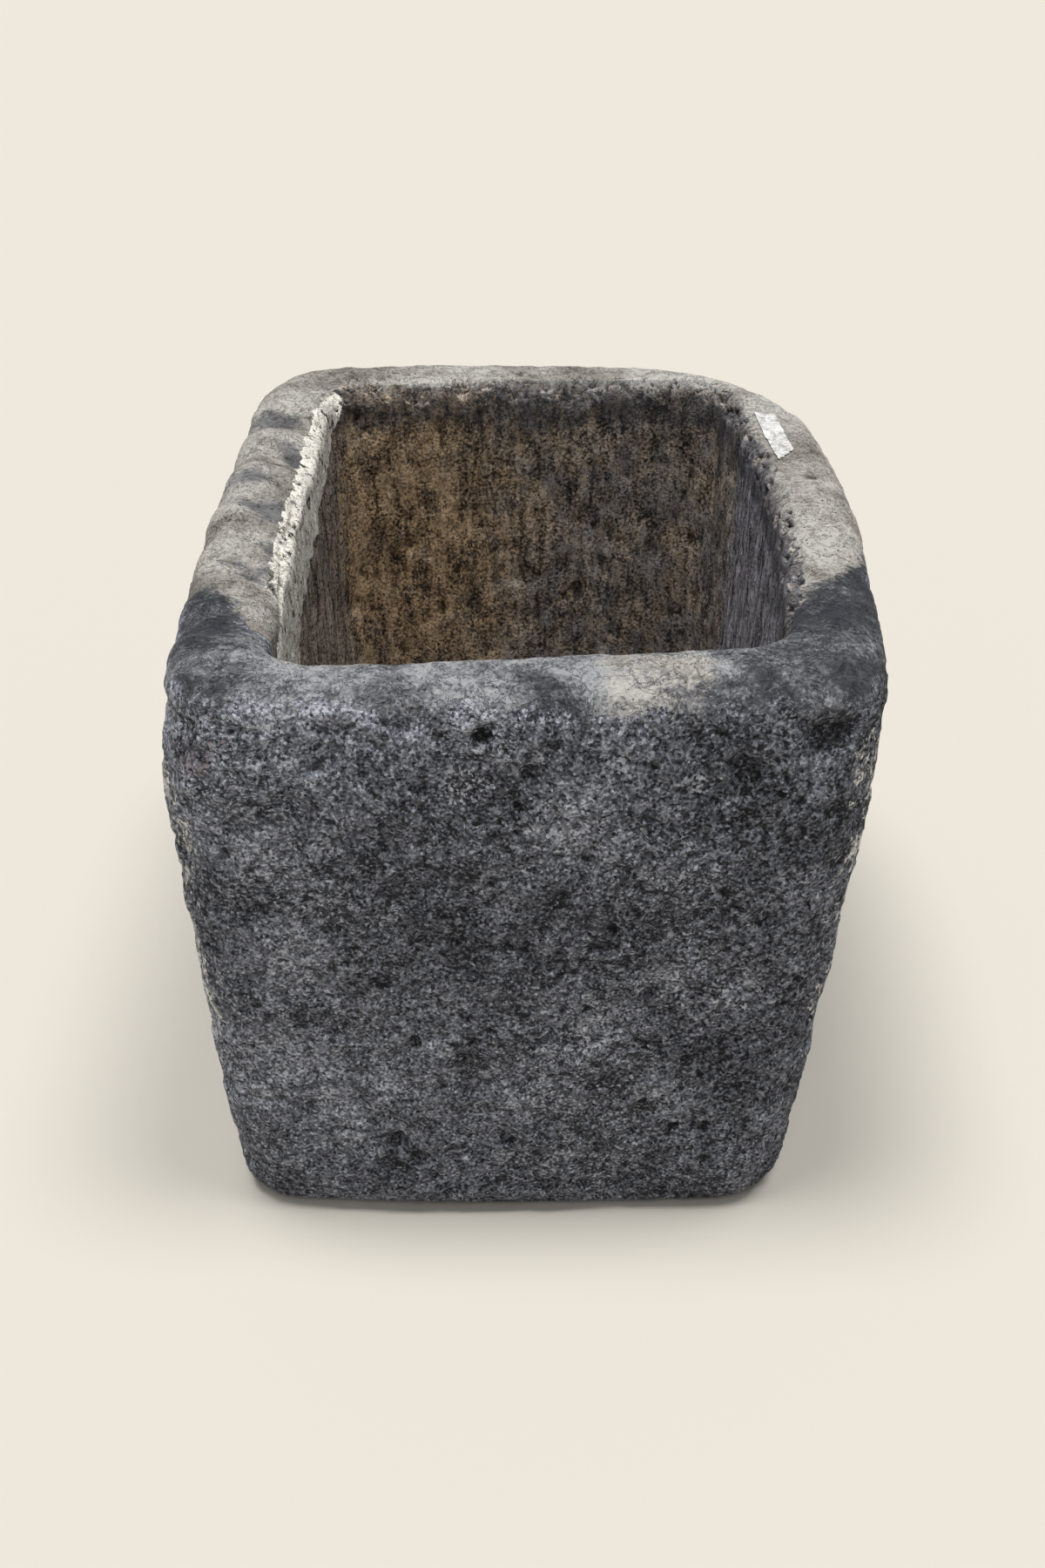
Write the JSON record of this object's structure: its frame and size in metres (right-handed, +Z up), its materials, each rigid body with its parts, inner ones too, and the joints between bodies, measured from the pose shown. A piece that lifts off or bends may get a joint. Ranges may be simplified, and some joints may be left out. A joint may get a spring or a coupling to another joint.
{
  "type": "stone trough planter",
  "caption": "Free-standing hand-carved limestone trough planter, tapering to its foot, with a deep open hollow, a worn rolled rim, a drain hole and a blank paper tag on the rim.",
  "frame": {"origin": "on the ground under the middle of the trough", "axes": "+Z up, +Y from the narrow front end to the back along the length, +X to the right seen from the front"},
  "size_m": [0.5723, 0.7305, 0.5396],
  "materials": {
    "limestone": "rough weathered limestone with a charcoal patina and a worn pale rim",
    "tag_paper": "matt blank paper, soiled and pasted down"
  },
  "bodies": {
    "root": {"stone_trough": "limestone", "paper_tag": "tag_paper"}
  },
  "joints": []
}
